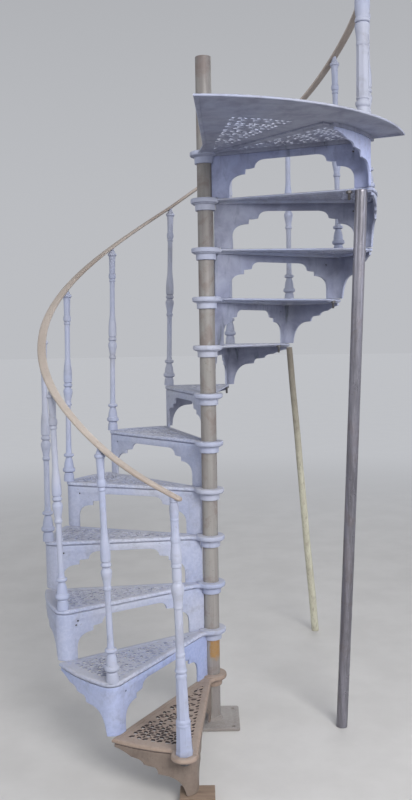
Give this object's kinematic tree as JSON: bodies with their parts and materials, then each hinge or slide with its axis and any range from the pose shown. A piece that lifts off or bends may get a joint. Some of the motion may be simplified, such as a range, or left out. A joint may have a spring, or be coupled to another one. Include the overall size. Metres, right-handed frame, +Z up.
{
  "type": "spiral staircase",
  "caption": "Cast metal spiral stair with pierced wedge treads round a central column, scalloped arched risers, turned balusters, a curving handrail and a wide top landing plate",
  "frame": {"origin": "on the column axis at floor level, in the middle of the underside of the column's base plate", "axes": "+Z up the column; -Y roughly the way the lowest tread points; +X the side of the landing's nosing"},
  "size_m": [1.5504, 2.1505, 3.4873],
  "materials": {
    "casting_paint": "satin",
    "first_tread_primer": "matte",
    "column_steel": "satin",
    "rail_primer": "satin",
    "post_steel": "satin",
    "prop_timber": "matte",
    "block_timber": "matte",
    "bolt_steel": "satin"
  },
  "bodies": {
    "root": {"tread_01": "first_tread_primer", "tread_02": "casting_paint", "tread_03": "casting_paint", "tread_04": "casting_paint", "tread_05": "casting_paint", "tread_06": "casting_paint", "tread_07": "casting_paint", "tread_08": "casting_paint", "tread_09": "casting_paint", "tread_10": "casting_paint", "tread_11": "casting_paint", "landing_12": "casting_paint", "bracket_01": "first_tread_primer", "bracket_02": "casting_paint", "bracket_03": "casting_paint", "bracket_04": "casting_paint", "bracket_05": "casting_paint", "bracket_06": "casting_paint", "bracket_07": "casting_paint", "bracket_08": "casting_paint", "bracket_09": "casting_paint", "bracket_10": "casting_paint", "bracket_11": "casting_paint", "bracket_12": "casting_paint", "newel_01": "casting_paint", "baluster_02": "casting_paint", "baluster_03": "casting_paint", "baluster_04": "casting_paint", "baluster_05": "casting_paint", "baluster_06": "casting_paint", "baluster_07": "casting_paint", "baluster_08": "casting_paint", "baluster_09": "casting_paint", "baluster_10": "casting_paint", "baluster_11": "casting_paint", "newel_12": "casting_paint", "handrail": "rail_primer", "centre_column": "column_steel", "column_base": "first_tread_primer", "support_post": "post_steel", "rear_prop": "prop_timber", "foot_block": "block_timber", "newel_nut": "bolt_steel", "corner_bolts": "bolt_steel"}
  },
  "joints": []
}
